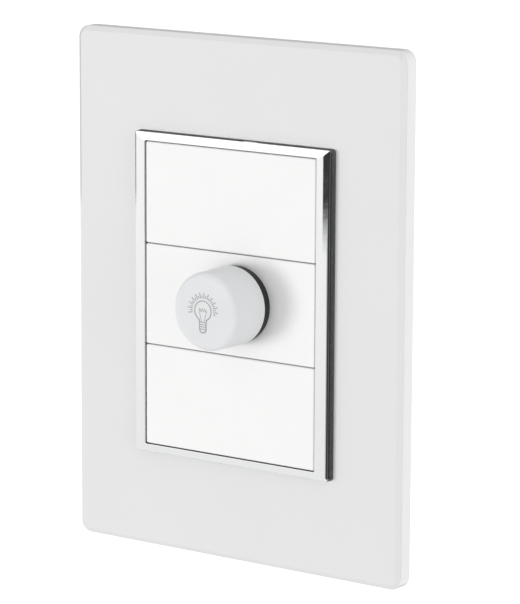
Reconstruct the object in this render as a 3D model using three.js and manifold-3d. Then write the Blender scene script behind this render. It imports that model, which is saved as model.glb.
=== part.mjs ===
// Rotary dimmer on a three-module glass wall plate. Lengths are in millimetres.
// X runs right and Z up as seen from the room, and -Y points into the room.
// The wall surface is the plane y = 0. The origin is the centre of the plate on the wall.

import * as THREE from 'three';
import { mergeVertices } from 'three/addons/utils/BufferGeometryUtils.js';
import Module from 'manifold-3d';

const wasm = await Module();
wasm.setup();

// ---------------------------------------------------------------- driving dimensions

const MODULE = { width: 45, height: 22.5, count: 3 };
const JOINT_LINE = 0.2; // gap between neighbouring module faces
const PLATE = { width: 86, height: 115, corner: 2.6 };
const GLASS = { thickness: 4.2, chamferWidth: 1.1, chamferDepth: 0.8 };
const STAND_OFF = 3.6; // wall to the back of the glass
const FACE_PROUD = 2.2; // module faces in front of the glass
const BEZEL = { width: 52, height: 71.6, corner: 0.9, proud: 0.15, rounding: 0.7 };
const KNOB = { x: 2.5, z: 0.5, backRadius: 8.65, frontRadius: 8.5, length: 10.1, fillet: 1.4 };
const COLLAR = { radius: 8.35, height: 1.8, inner: 6.9 };
const SCREW_SPACING = 83.5; // wall box screws, centre to centre
const SHAFT_RADIUS = 3;
const TERMINALS = { line: -16, load: -8.5 }; // x of the two clamps
const WALL = 1.5; // moulded wall thickness
const FIT = 0.3; // clearance between pieces that don't touch
const SLIDING = 0.15; // clearance round a piece that turns or is threaded on another
const ROOT = 0.4; // how far ribs sink into the wall they grow from
const ROUND = 28; // sides of a round piece
const SMALL_ROUND = 18; // sides of a screw or a small hole
const KNOB_ROUND = 48; // sides of the knob and its collar

// ---------------------------------------------------------------- planes and sizes derived from them

const OPENING = {
  width: MODULE.width + JOINT_LINE,
  height: MODULE.count * MODULE.height + JOINT_LINE,
};
const FACE = { width: MODULE.width - JOINT_LINE, height: MODULE.height - JOINT_LINE };
const GLASS_BACK = -STAND_OFF;
const GLASS_FRONT = GLASS_BACK - GLASS.thickness;
const MODULE_FACE = GLASS_FRONT - FACE_PROUD;
const BEZEL_FRONT = MODULE_FACE - BEZEL.proud;
const FACE_BACK = MODULE_FACE + WALL;
const KNOB_BACK = MODULE_FACE - COLLAR.height - FIT;
const KNOB_FRONT = KNOB_BACK - KNOB.length;

// ---------------------------------------------------------------- solids

/** Drops all but the positions and welds equal vertices, so that neighbouring faces share them. */
function welded(geometry) {
  const bare = geometry.clone();
  bare.deleteAttribute('normal');
  bare.deleteAttribute('uv');
  return mergeVertices(bare, 1e-5);
}

function toSolid(geometry) {
  const mesh = welded(geometry);
  return new wasm.Manifold(new wasm.Mesh({
    numProp: 3,
    vertProperties: new Float32Array(mesh.attributes.position.array),
    triVerts: new Uint32Array(mesh.index.array),
  }));
}

function toGeometry(solid) {
  const mesh = solid.getMesh();
  const geometry = new THREE.BufferGeometry();
  geometry.setAttribute('position', new THREE.BufferAttribute(mesh.vertProperties, mesh.numProp));
  geometry.setIndex(new THREE.BufferAttribute(mesh.triVerts, 1));
  return geometry;
}

/** Joins the added geometries to the base, then cuts the removed ones out of it. */
function carve(base, { add = [], cut = [] }) {
  let solid = toSolid(base);
  for (const geometry of add) {
    solid = solid.add(toSolid(geometry));
  }
  for (const geometry of cut) {
    solid = solid.subtract(toSolid(geometry));
  }
  return toGeometry(solid);
}

/** Box between two values on each axis. */
function block(x, y, z) {
  const geometry = new THREE.BoxGeometry(x[1] - x[0], y[1] - y[0], z[1] - z[0]);
  geometry.translate((x[0] + x[1]) / 2, (y[0] + y[1]) / 2, (z[0] + z[1]) / 2);
  return geometry;
}

/** The range of a given size round a centre. */
function around(centre, size) {
  return [centre - size / 2, centre + size / 2];
}

/** Rectangle with round corners in the XZ plane, as a shape. */
function roundedRectangle(width, height, radius, x = 0, z = 0) {
  const shape = new THREE.Shape();
  const right = width / 2 - radius;
  const top = height / 2 - radius;
  const quarter = Math.PI / 2;
  shape.absarc(x + right, z + top, radius, 0, quarter);
  shape.absarc(x - right, z + top, radius, quarter, 2 * quarter);
  shape.absarc(x - right, z - top, radius, 2 * quarter, 3 * quarter);
  shape.absarc(x + right, z - top, radius, 3 * quarter, 4 * quarter);
  shape.closePath();
  return shape;
}

/** Extrudes an XZ shape along Y, from its back plane towards the room. */
function slab(shape, front, back, curveSegments = 3) {
  const geometry = new THREE.ExtrudeGeometry(shape, {
    depth: back - front,
    bevelEnabled: false,
    curveSegments,
  });
  geometry.rotateX(Math.PI / 2);
  geometry.translate(0, back, 0);
  return geometry;
}

/** A slab whose front edge is bevelled inwards; more segments make the bevel round. */
function bevelledSlab(shape, front, back, { width, depth, segments = 1, curveSegments = 3 }) {
  const geometry = new THREE.ExtrudeGeometry(shape, {
    depth: back - front,
    bevelThickness: depth,
    bevelSize: width,
    bevelOffset: -width,
    bevelSegments: segments,
    curveSegments,
  });
  geometry.rotateX(Math.PI / 2);
  geometry.translate(0, back + depth, 0);
  const reach = PLATE.height;
  const behind = block([-reach, reach], [back, back + 3 * depth], [-reach, reach]);
  return toGeometry(toSolid(geometry).subtract(toSolid(behind)));
}

/** Turns [radius, y] points about an axis along Y. The points run clockwise round the section. */
function turned(points, x, z, segments = ROUND) {
  const profile = points.map(([radius, y]) => new THREE.Vector2(radius, y));
  const geometry = new THREE.LatheGeometry(profile, segments);
  geometry.translate(x, 0, z);
  return welded(geometry);
}

/** Cylinder along Y between two planes. */
function rod(radius, front, back, x, z, segments = ROUND) {
  const geometry = new THREE.CylinderGeometry(radius, radius, back - front, segments);
  geometry.translate(x, (front + back) / 2, z);
  return geometry;
}

/** Cylinder along Z between two heights. */
function post(radius, bottom, top, x, y, segments = SMALL_ROUND) {
  const geometry = new THREE.CylinderGeometry(radius, radius, top - bottom, segments);
  geometry.rotateX(Math.PI / 2);
  geometry.translate(x, y, (bottom + top) / 2);
  return geometry;
}

/** Ring along Y with a rectangular section. */
function ring(outer, inner, front, back, x, z, segments = ROUND) {
  const section = [[inner, front], [outer, front], [outer, back], [inner, back], [inner, front]];
  return turned(section, x, z, segments);
}

// ---------------------------------------------------------------- finishes

const finish = (color, roughness, metalness = 0) => ({ color, roughness, metalness });

const FINISHES = {
  whiteGlass: finish(0xe6e8e8, 0.08),
  chrome: finish(0xd9dbde, 0.06, 1),
  whitePlastic: finish(0xf1f1f0, 0.35),
  knobPlastic: finish(0xe4e6e8, 0.45),
  blackPlastic: finish(0x23282a, 0.5),
  greyPlastic: finish(0x8f9396, 0.55),
  steel: finish(0xb4b7ba, 0.35, 1),
  brass: finish(0xc9a55a, 0.35, 1),
  copper: finish(0xb8663a, 0.35, 1),
  phenolic: finish(0x6d4a2e, 0.6),
  boardGreen: finish(0x2d6b46, 0.5),
  aluminium: finish(0xc4c6c8, 0.4, 1),
  ferrite: finish(0x3a3c3f, 0.6),
  capacitorYellow: finish(0xd9b53a, 0.45),
  componentTan: finish(0xcfb58a, 0.5),
};

const assembly = new THREE.Group();

/** Adds one named sub-part to the assembly. */
function part(name, finishName, geometry) {
  const material = new THREE.MeshStandardMaterial(FINISHES[finishName]);
  const mesh = new THREE.Mesh(welded(geometry), material);
  mesh.name = name;
  assembly.add(mesh);
}

// ---------------------------------------------------------------- plate: glass, chassis and bezel

const GLASS_HOLE = { width: 48.4, height: 69 };
const SKIRT = { width: 48, height: 68.6 }; // bezel's skirt, through the hole in the glass
const WINDOW_CORNER = 0.5;
const PASSAGE_CORNER = 0.8;
const CHASSIS = { inset: 3, corner: 3, web: 1.6, rim: 1.6, screwHole: 4.6 };
const RIBS = { heights: [-44, -30, -15, 0, 15, 30, 44], thickness: 1.2, back: -0.5 };
const GRIPS = { heights: [-22.5, 22.5], thickness: 1.2, length: 9, gap: 0.15, back: -0.2 };
const PASSAGE = { width: 45.7, height: 68.1 }; // modules' way through the chassis and support frame
const TABS = { heights: [-22.5, 22.5], length: 6, thickness: 0.8, depth: 1.2, root: 0.5, inset: 0.1 };

function glassPlate() {
  const outline = roundedRectangle(PLATE.width, PLATE.height, PLATE.corner);
  const bevel = { width: GLASS.chamferWidth, depth: GLASS.chamferDepth, curveSegments: 4 };
  const pane = bevelledSlab(outline, GLASS_FRONT, GLASS_BACK, bevel);
  const hole = roundedRectangle(GLASS_HOLE.width, GLASS_HOLE.height, 1);
  return carve(pane, { cut: [slab(hole, GLASS_FRONT - 1, GLASS_BACK + 1)] });
}

/** Left and right locating tabs at the back of the bezel's skirt, grown by a clearance. */
function bezelTabs(grow = 0) {
  const tabs = [];
  for (const side of [-1, 1]) {
    for (const z of TABS.heights) {
      const x = side * (SKIRT.width / 2 - TABS.thickness / 2 - TABS.inset);
      tabs.push(block(
        around(x, TABS.thickness + 2 * grow),
        [GLASS_BACK - TABS.root - grow, GLASS_BACK + TABS.depth + grow],
        around(z, TABS.length + 2 * grow),
      ));
    }
  }
  return tabs;
}

function plateChassis() {
  const width = PLATE.width - 2 * CHASSIS.inset;
  const height = PLATE.height - 2 * CHASSIS.inset;
  const outer = slab(roundedRectangle(width, height, CHASSIS.corner), GLASS_BACK, 0);
  const pocketShape = roundedRectangle(width - 2 * CHASSIS.rim, height - 2 * CHASSIS.rim, CHASSIS.corner - 1);
  const webBack = GLASS_BACK + CHASSIS.web;
  const pocket = slab(pocketShape, webBack, 1);
  const passage = slab(roundedRectangle(PASSAGE.width, PASSAGE.height, PASSAGE_CORNER), GLASS_BACK - 1, 1);
  const headHoles = [-1, 1].map((side) => (
    rod(CHASSIS.screwHole, GLASS_BACK - 1, 1, 0, side * SCREW_SPACING / 2)
  ));
  const frame = carve(outer, { cut: [pocket, passage, ...headHoles, ...bezelTabs(FIT)] });
  return carve(frame, { add: chassisRibs(width, webBack) });
}

/** Short ribs between the chassis rim and the support frame, and grips beside the frame. */
function chassisRibs(width, webBack) {
  const ribs = [];
  const rimInside = width / 2 - CHASSIS.rim;
  const gripFace = SUPPORT.width / 2 + GRIPS.gap;
  for (const side of [-1, 1]) {
    for (const z of RIBS.heights) {
      const reach = [side * gripFace, side * (rimInside + ROOT)].sort((a, b) => a - b);
      ribs.push(block(reach, [webBack - ROOT, RIBS.back], around(z, RIBS.thickness)));
    }
    for (const z of GRIPS.heights) {
      const x = side * (gripFace + GRIPS.thickness / 2);
      ribs.push(block(around(x, GRIPS.thickness), [webBack - ROOT, GRIPS.back], around(z, GRIPS.length)));
    }
  }
  return ribs;
}

function bezelFrame() {
  const outline = roundedRectangle(BEZEL.width, BEZEL.height, BEZEL.corner);
  const bevel = { width: BEZEL.rounding, depth: BEZEL.rounding, segments: 3, curveSegments: 2 };
  const flange = bevelledSlab(outline, BEZEL_FRONT, GLASS_FRONT, bevel);
  const skirtShape = roundedRectangle(SKIRT.width, SKIRT.height, PASSAGE_CORNER);
  const skirt = slab(skirtShape, GLASS_FRONT - ROOT, GLASS_BACK);
  const window = roundedRectangle(OPENING.width, OPENING.height, WINDOW_CORNER);
  return carve(flange, {
    add: [skirt, ...bezelTabs()],
    cut: [slab(window, BEZEL_FRONT - 1, GLASS_BACK + 2)],
  });
}

// ---------------------------------------------------------------- support frame and its screws

const SUPPORT = { width: 60, height: 104, corner: 4, thickness: 2, railDepth: 6.8, railThickness: 1.4 };
const RAIL_OVERLAP = 0.5; // rails rise from inside the plate
const CORNER_HOLES = { x: 22, z: 42, radius: 1.8 };
const SLOT = { length: 8.4, radius: 2.1 };
const BOX_SCREW = { headRadius: 3.3, headHeight: 1.3, headEdge: 0.6, radius: 1.7, length: 18, point: 1.2 };
const BOX_SCREW_SLOT = { width: 0.9, depth: 0.7 };

/** Long hole across the frame, in which a box screw can be shifted sideways. */
function screwSlot(z) {
  const slot = roundedRectangle(SLOT.length, 2 * SLOT.radius, SLOT.radius, 0, z);
  return slab(slot, -SUPPORT.thickness - 1, 1);
}

function supportFrame() {
  const front = -SUPPORT.thickness;
  const plate = slab(roundedRectangle(SUPPORT.width, SUPPORT.height, SUPPORT.corner), front, 0);
  const railInside = PASSAGE.width / 2;
  const rails = [-1, 1].map((side) => block(
    around(side * (railInside + SUPPORT.railThickness / 2), SUPPORT.railThickness),
    [-RAIL_OVERLAP, SUPPORT.railDepth],
    around(0, OPENING.height - 2),
  ));
  const passageShape = roundedRectangle(PASSAGE.width, PASSAGE.height, PASSAGE_CORNER);
  const passage = slab(passageShape, front - 1, SUPPORT.railDepth + 1);
  const cornerHoles = [];
  for (const x of [-CORNER_HOLES.x, CORNER_HOLES.x]) {
    for (const z of [-CORNER_HOLES.z, CORNER_HOLES.z]) {
      cornerHoles.push(rod(CORNER_HOLES.radius, front - 1, 1, x, z, SMALL_ROUND));
    }
  }
  const slots = [-1, 1].map((side) => screwSlot(side * SCREW_SPACING / 2));
  return carve(plate, { add: rails, cut: [passage, ...slots, ...cornerHoles] });
}

function boxScrew(z) {
  const seat = -SUPPORT.thickness;
  const top = seat - BOX_SCREW.headHeight;
  const section = [
    [0, top],
    [BOX_SCREW.headRadius - BOX_SCREW.headEdge, top],
    [BOX_SCREW.headRadius, top + BOX_SCREW.headEdge],
    [BOX_SCREW.headRadius, seat],
    [BOX_SCREW.radius, seat],
    [BOX_SCREW.radius, seat + BOX_SCREW.length - BOX_SCREW.point],
    [BOX_SCREW.radius / 2, seat + BOX_SCREW.length],
    [0, seat + BOX_SCREW.length],
  ];
  const driverSlot = block(
    around(0, 2 * BOX_SCREW.headRadius),
    [top - 1, top + BOX_SCREW_SLOT.depth],
    around(z, BOX_SCREW_SLOT.width),
  );
  return carve(turned(section, 0, z, SMALL_ROUND), { cut: [driverSlot] });
}

// ---------------------------------------------------------------- module shells

const SHELL_BACK = 9; // rear rim of the module shells
const HOOK = { reach: 1.3, length: 4, front: SUPPORT.railDepth + FIT, depth: 1.5, offset: 5, root: 0.5 };
const SLIT = { width: 0.7, front: 1 };
const FACE_CORNER = 0.4;
const EDGE = 0.3; // rounding of the module faces

/** Snap hooks on both sides of a module, behind the rails of the support frame. */
function snapHooks(centreZ) {
  const hooks = [];
  for (const side of [-1, 1]) {
    for (const offset of [-HOOK.offset, HOOK.offset]) {
      hooks.push(block(
        around(side * (FACE.width + HOOK.reach - HOOK.root) / 2, HOOK.reach + HOOK.root),
        [HOOK.front, HOOK.front + HOOK.depth],
        around(centreZ + offset, HOOK.length),
      ));
    }
  }
  return hooks;
}

/** Slits that let the hooked tongues bend inwards. */
function tongueSlits(centreZ) {
  const slits = [];
  for (const side of [-1, 1]) {
    for (const offset of [-HOOK.offset, HOOK.offset]) {
      for (const edge of [-1, 1]) {
        const x = side * FACE.width / 2;
        const z = centreZ + offset + edge * (HOOK.length / 2 + SLIT.width);
        slits.push(block(around(x, 2 * WALL + 2), [SLIT.front, SHELL_BACK + 1], around(z, SLIT.width)));
      }
    }
  }
  return slits;
}

/** Open-backed shell of one module: a face with walls behind it and snap hooks on its sides. */
function moduleShell(centreZ) {
  const outline = roundedRectangle(FACE.width, FACE.height, FACE_CORNER, 0, centreZ);
  const bevel = { width: EDGE, depth: EDGE, segments: 2, curveSegments: 2 };
  const outer = bevelledSlab(outline, MODULE_FACE, SHELL_BACK, bevel);
  const hollow = block(
    around(0, FACE.width - 2 * WALL),
    [FACE_BACK, SHELL_BACK + 1],
    around(centreZ, FACE.height - 2 * WALL),
  );
  const shell = carve(outer, { cut: [hollow, ...tongueSlits(centreZ)] });
  return carve(shell, { add: snapHooks(centreZ) });
}

// ---------------------------------------------------------------- dimmer casing

const HOUSING = { width: 44, height: 21.9, back: 28 };
const CASE_SCREWS = { left: [-18.6, 7.6], right: [18.4, -7.6] }; // x and z of each
const CASE_BOSS = 2.2;
const CASE_SCREW = { radius: 0.9, headRadius: 1.6, headHeight: 1.2, headEdge: 0.4, length: 20, point: 1.5 };
const SUNK = 0.2; // case screw heads below the rear face
const CASE_CORNER = 0.8;
const PARTITION = 0.8;
const HOUSING_FLOOR = HOUSING.back - WALL;
const WIRE_ENTRY = { z: 2.2, radius: 1.7, funnel: 2.5 };
const DRIVER_HOLE = 2.2;
const TERMINAL_Y = 22;

function dimmerFrontCover() {
  const bosses = Object.values(CASE_SCREWS).map(([x, z]) => (
    rod(CASE_BOSS, FACE_BACK - ROOT, SHELL_BACK, x, z, SMALL_ROUND)
  ));
  const pilots = Object.values(CASE_SCREWS).map(([x, z]) => (
    rod(CASE_SCREW.radius + FIT, 0, SHELL_BACK + 1, x, z, SMALL_ROUND)
  ));
  const bushingHole = rod(BUSHING.radius + 0.2, MODULE_FACE - 1, FACE_BACK + 1, KNOB.x, KNOB.z);
  return carve(moduleShell(0), { add: bosses, cut: [bushingHole, ...pilots] });
}

function dimmerHousing() {
  const outline = roundedRectangle(HOUSING.width, HOUSING.height, CASE_CORNER);
  const outer = slab(outline, SHELL_BACK, HOUSING.back, 3);
  const hollow = block(
    around(0, HOUSING.width - 2 * WALL),
    [SHELL_BACK - 1, HOUSING_FLOOR],
    around(0, HOUSING.height - 2 * WALL),
  );
  const casing = carve(outer, { cut: [hollow] });
  const bosses = Object.values(CASE_SCREWS).map(([x, z]) => (
    rod(CASE_BOSS, BOARD.back + FIT, HOUSING_FLOOR + ROOT, x, z, SMALL_ROUND)
  ));
  const partitionX = (TERMINALS.line + TERMINALS.load) / 2;
  const partition = block(
    around(partitionX, PARTITION),
    [BOARD.back + FIT, HOUSING_FLOOR + ROOT],
    around(0, HOUSING.height - WALL),
  );
  const headSeat = HOUSING.back - CASE_SCREW.headHeight - SUNK;
  const screwHoles = Object.values(CASE_SCREWS).flatMap(([x, z]) => [
    rod(CASE_SCREW.radius + FIT, SHELL_BACK, HOUSING.back + 1, x, z, SMALL_ROUND),
    rod(CASE_SCREW.headRadius + FIT, headSeat, HOUSING.back + 1, x, z, SMALL_ROUND),
  ]);
  const wireFunnels = Object.values(TERMINALS).map((x) => turned([
    [0, HOUSING_FLOOR - 1],
    [WIRE_ENTRY.radius, HOUSING_FLOOR - 1],
    [WIRE_ENTRY.radius, HOUSING_FLOOR + ROOT],
    [WIRE_ENTRY.funnel, HOUSING.back + 0.1],
    [0, HOUSING.back + 0.1],
  ], x, WIRE_ENTRY.z, SMALL_ROUND));
  const driverHoles = Object.values(TERMINALS).map((x) => (
    post(DRIVER_HOLE, -HOUSING.height / 2 - 1, -HOUSING.height / 2 + WALL + 1, x, TERMINAL_Y)
  ));
  return carve(casing, {
    add: [...bosses, partition],
    cut: [...screwHoles, ...wireFunnels, ...driverHoles],
  });
}

function caseScrew([x, z]) {
  const head = HOUSING.back - CASE_SCREW.headHeight - SUNK;
  const tip = head - CASE_SCREW.length;
  return turned([
    [0, tip],
    [CASE_SCREW.radius, tip + CASE_SCREW.point],
    [CASE_SCREW.radius, head],
    [CASE_SCREW.headRadius, head],
    [CASE_SCREW.headRadius, head + CASE_SCREW.headHeight - CASE_SCREW.headEdge],
    [CASE_SCREW.headRadius - CASE_SCREW.headEdge, head + CASE_SCREW.headHeight],
    [0, head + CASE_SCREW.headHeight],
  ], x, z, SMALL_ROUND);
}

// ---------------------------------------------------------------- knob, shaft and potentiometer

const BUSHING = { radius: 4.5, flangeRadius: 6, flange: 1, front: MODULE_FACE - 4 };
const NUT = { acrossFlats: 11, height: 1.9 };
const WASHER = { radius: 6.2, height: 0.4 };
const SHAFT = { front: KNOB_FRONT + 2.2, shoulder: -4, back: -0.4, journal: 1.2, flatDepth: 1 };
const POT = { radius: 8.2, wall: 0.9, front: FACE_BACK + BUSHING.flange, back: 0.8, cap: 1.2 };
const WIPER = { radius: 6.2, front: -5.6, back: -4.2 };
const WAFER = { radius: 7, front: -2.8, back: -1.4 };
const LEGS = { left: -3.4, middle: 0, right: 3.4 };
const LEG_DROP = -5.4;
const PIN = { width: 0.9, thickness: 0.5 };
const CLIP = { width: 2.6, thickness: 0.5, gap: 0.2 };
const FINGER = { width: 1.6, height: 1.4, inset: 1.2, gap: 0.2 };
const OFF_SWITCH = { width: 11, height: 10, depth: 5.4, rise: 1.8, pinOffsets: [-3, 3], pinRise: 4 };
const SHAFT_EDGE = 0.4;

/** Knob: tapered wall with a rounded front edge, hollow behind, and a hub for the shaft. */
function knob() {
  const wall = 1.4;
  const face = 1.8;
  const hubRadius = 4.7;
  const rimEdge = 0.15;
  const hubBack = BUSHING.front - 0.6;
  const filletCentre = [KNOB.frontRadius - KNOB.fillet, KNOB_FRONT + KNOB.fillet];
  const fillet = [];
  const steps = 5;
  for (let step = 0; step <= steps; step += 1) {
    const angle = (Math.PI / 2) * (step / steps);
    fillet.push([
      filletCentre[0] + KNOB.fillet * Math.sin(angle),
      filletCentre[1] - KNOB.fillet * Math.cos(angle),
    ]);
  }
  return turned([
    [0, KNOB_FRONT],
    ...fillet,
    [KNOB.backRadius, KNOB_BACK - rimEdge],
    [KNOB.backRadius - rimEdge, KNOB_BACK],
    [KNOB.backRadius - wall, KNOB_BACK],
    [KNOB.frontRadius - wall, KNOB_FRONT + face],
    [hubRadius, KNOB_FRONT + face],
    [hubRadius, hubBack],
    [SHAFT_RADIUS + FIT, hubBack],
    [SHAFT_RADIUS + FIT, KNOB_FRONT + face],
    [0, KNOB_FRONT + face],
  ], KNOB.x, KNOB.z, KNOB_ROUND);
}

/** Leaf spring between the flat of the shaft and the hub of the knob. */
function knobSpringClip() {
  const flatZ = KNOB.z + SHAFT_RADIUS - SHAFT.flatDepth;
  const bottom = flatZ + CLIP.gap;
  const length = [SHAFT.front + SHAFT_EDGE, BUSHING.front - 1];
  return block(around(KNOB.x, CLIP.width), length, [bottom, bottom + CLIP.thickness]);
}

/** Shaft with a flat for the knob's spring and a thin journal through the track wafer. */
function shaft() {
  const body = turned([
    [0, SHAFT.front],
    [SHAFT_RADIUS - SHAFT_EDGE, SHAFT.front],
    [SHAFT_RADIUS, SHAFT.front + SHAFT_EDGE],
    [SHAFT_RADIUS, SHAFT.shoulder],
    [SHAFT.journal, SHAFT.shoulder],
    [SHAFT.journal, SHAFT.back],
    [0, SHAFT.back],
  ], KNOB.x, KNOB.z);
  const flatZ = KNOB.z + SHAFT_RADIUS - SHAFT.flatDepth;
  const length = [SHAFT.front - 1, BUSHING.front - FIT];
  const flat = block(around(KNOB.x, 3 * SHAFT_RADIUS), length, [flatZ, flatZ + SHAFT_RADIUS]);
  return carve(body, { cut: [flat] });
}

function knobCollar() {
  const front = MODULE_FACE - COLLAR.height;
  return ring(COLLAR.radius, COLLAR.inner, front, MODULE_FACE, KNOB.x, KNOB.z, KNOB_ROUND);
}

function threadedBushing() {
  const bore = SHAFT_RADIUS + SLIDING;
  return turned([
    [bore, BUSHING.front],
    [BUSHING.radius - SHAFT_EDGE, BUSHING.front],
    [BUSHING.radius, BUSHING.front + SHAFT_EDGE],
    [BUSHING.radius, FACE_BACK],
    [BUSHING.flangeRadius, FACE_BACK],
    [BUSHING.flangeRadius, FACE_BACK + BUSHING.flange],
    [bore, FACE_BACK + BUSHING.flange],
    [bore, BUSHING.front],
  ], KNOB.x, KNOB.z);
}

function bushingNut() {
  const back = MODULE_FACE - WASHER.height;
  const cornerRadius = NUT.acrossFlats / Math.sqrt(3);
  const hexagon = rod(cornerRadius, back - NUT.height, back, KNOB.x, KNOB.z, 6);
  const bore = rod(BUSHING.radius + SLIDING, back - NUT.height - 1, back + 1, KNOB.x, KNOB.z);
  return carve(hexagon, { cut: [bore] });
}

function bushingWasher() {
  const front = MODULE_FACE - WASHER.height;
  return ring(WASHER.radius, BUSHING.radius + SLIDING, front, MODULE_FACE, KNOB.x, KNOB.z);
}

function potentiometerBody() {
  const bore = SHAFT_RADIUS + SLIDING;
  const inside = POT.radius - POT.wall;
  return turned([
    [bore, POT.front],
    [POT.radius, POT.front],
    [POT.radius, POT.back],
    [inside, POT.back],
    [inside, POT.front + POT.wall],
    [bore, POT.front + POT.wall],
    [bore, POT.front],
  ], KNOB.x, KNOB.z);
}

function wiper() {
  const disc = ring(WIPER.radius, SHAFT_RADIUS + SLIDING, WIPER.front, WIPER.back, KNOB.x, KNOB.z);
  const finger = block(
    around(KNOB.x, FINGER.width),
    [WIPER.back - ROOT, WAFER.front - FINGER.gap],
    around(KNOB.z + WIPER.radius - FINGER.inset, FINGER.height),
  );
  return carve(disc, { add: [finger] });
}

function trackWafer() {
  return ring(WAFER.radius, SHAFT.journal + FIT, WAFER.front, WAFER.back, KNOB.x, KNOB.z);
}

function potentiometerLeg(offset, grow = 0) {
  return block(
    around(KNOB.x + offset, PIN.width + 2 * grow),
    [WAFER.back, BOARD.front],
    around(KNOB.z + LEG_DROP, PIN.thickness + 2 * grow),
  );
}

function potentiometerCap() {
  const cap = rod(POT.radius, POT.back, POT.back + POT.cap, KNOB.x, KNOB.z);
  const legHoles = Object.values(LEGS).map((offset) => potentiometerLeg(offset, FIT));
  return carve(cap, { cut: legHoles });
}

function offSwitch() {
  const front = POT.back + POT.cap;
  const back = front + OFF_SWITCH.depth;
  const middle = KNOB.z + OFF_SWITCH.rise;
  const body = block(around(KNOB.x, OFF_SWITCH.width), [front, back], around(middle, OFF_SWITCH.height));
  const pins = OFF_SWITCH.pinOffsets.map((offset) => block(
    around(KNOB.x + offset, PIN.width),
    [back - ROOT, BOARD.front],
    around(KNOB.z + OFF_SWITCH.pinRise, PIN.thickness),
  ));
  return carve(body, { add: pins });
}

// ---------------------------------------------------------------- circuit board and what it carries

const BOARD = { front: 10.6, back: 12.2, width: 40.4, height: 18.3 };
const CHOKE = { x: 11.4, z: 0, y: 15.8, radius: 4.6, tube: 2.1, wire: 0.4, turns: 10 };
const TRIAC = { x: 3, length: 9, width: 10, back: 24.9, depth: 4.5 };
const TRIAC_TAB = { end: 15, thickness: 1.3, hole: 1.8, holeX: 12.3 }; // x from the triac's legs
const TRIAC_LEGS = { spacing: 2.54, rise: 2.6, width: 0.8, thickness: 0.5, reach: 1.8 };
const HEAT_SINK = { left: TRIAC.x - 2, right: 19.6, thickness: 1.3, top: 9.1 };
const CAPACITOR = { x: [-4, 0.2], z: [-8.5, 4.5], depth: 10.6, pinX: -1.9, pinHeights: [-7, 3], pin: 0.4 };
const AXIAL = { x: -12.6, gap: 0.3, lead: 0.3, leadLength: 1.5 }; // parts that lie along X

function circuitBoard() {
  const board = block(around(0, BOARD.width), [BOARD.front, BOARD.back], around(0, BOARD.height));
  const clearances = Object.values(CASE_SCREWS).map(([x, z]) => (
    rod(CASE_BOSS + FIT, BOARD.front - 1, BOARD.back + 1, x, z, SMALL_ROUND)
  ));
  return carve(board, { cut: clearances });
}

function chokeCore() {
  const geometry = new THREE.TorusGeometry(CHOKE.radius, CHOKE.tube, 8, 20);
  geometry.rotateX(Math.PI / 2);
  geometry.translate(CHOKE.x, CHOKE.y, CHOKE.z);
  return geometry;
}

const STEPS_PER_TURN = 8;

/** Wire wound round the toroid, open at its start so that it isn't a closed loop. */
class ToroidWinding extends THREE.Curve {
  getPoint(t, target = new THREE.Vector3()) {
    const round = 2 * Math.PI * 0.94 * t;
    const turn = 2 * Math.PI * CHOKE.turns * t;
    const loop = CHOKE.tube + 0.3 + CHOKE.wire;
    const reach = CHOKE.radius + loop * Math.cos(turn);
    return target.set(
      CHOKE.x + reach * Math.cos(round),
      CHOKE.y + loop * Math.sin(turn),
      CHOKE.z + reach * Math.sin(round),
    );
  }
}

function chokeWinding() {
  const section = new THREE.Shape();
  section.absarc(0, 0, CHOKE.wire, 0, 2 * Math.PI);
  return new THREE.ExtrudeGeometry(section, {
    steps: CHOKE.turns * STEPS_PER_TURN,
    curveSegments: 3,
    extrudePath: new ToroidWinding(),
  });
}

/** Triac lying on the heat sink, with its three legs bent towards the board. */
function triac() {
  const bodyEnd = TRIAC.x + TRIAC.length;
  const body = block([TRIAC.x, bodyEnd], [TRIAC.back - TRIAC.depth, TRIAC.back], around(0, TRIAC.width));
  const tabDepth = [TRIAC.back - TRIAC_TAB.thickness, TRIAC.back];
  const tab = block([bodyEnd - 1, TRIAC.x + TRIAC_TAB.end], tabDepth, around(0, TRIAC.width));
  const holeX = TRIAC.x + TRIAC_TAB.holeX;
  const tabHole = rod(TRIAC_TAB.hole, TRIAC.back - 3, TRIAC.back + 1, holeX, 0, SMALL_ROUND);
  const { spacing, rise, width, thickness, reach } = TRIAC_LEGS;
  const legY = TRIAC.back - rise;
  const bendX = TRIAC.x - reach;
  const legs = [-spacing, 0, spacing].flatMap((z) => [
    block([bendX, TRIAC.x + ROOT], around(legY, thickness), around(z, width)),
    block([bendX - thickness, bendX], [BOARD.back, legY + thickness / 2], around(z, width)),
  ]);
  return carve(body, { add: [tab, ...legs], cut: [tabHole] });
}

/** Plate between the triac and the rear wall, clear of the screw boss below it. */
function heatSink() {
  const depth = [TRIAC.back, TRIAC.back + HEAT_SINK.thickness];
  return block([HEAT_SINK.left, HEAT_SINK.right], depth, [-TRIAC.width / 2, HEAT_SINK.top]);
}

function capacitor() {
  const front = BOARD.back + CAPACITOR.pin;
  const body = block(CAPACITOR.x, [front, front + CAPACITOR.depth], CAPACITOR.z);
  const pins = CAPACITOR.pinHeights.map((z) => (
    rod(CAPACITOR.pin, BOARD.back, front + ROOT, CAPACITOR.pinX, z, 8)
  ));
  return carve(body, { add: pins });
}

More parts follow.
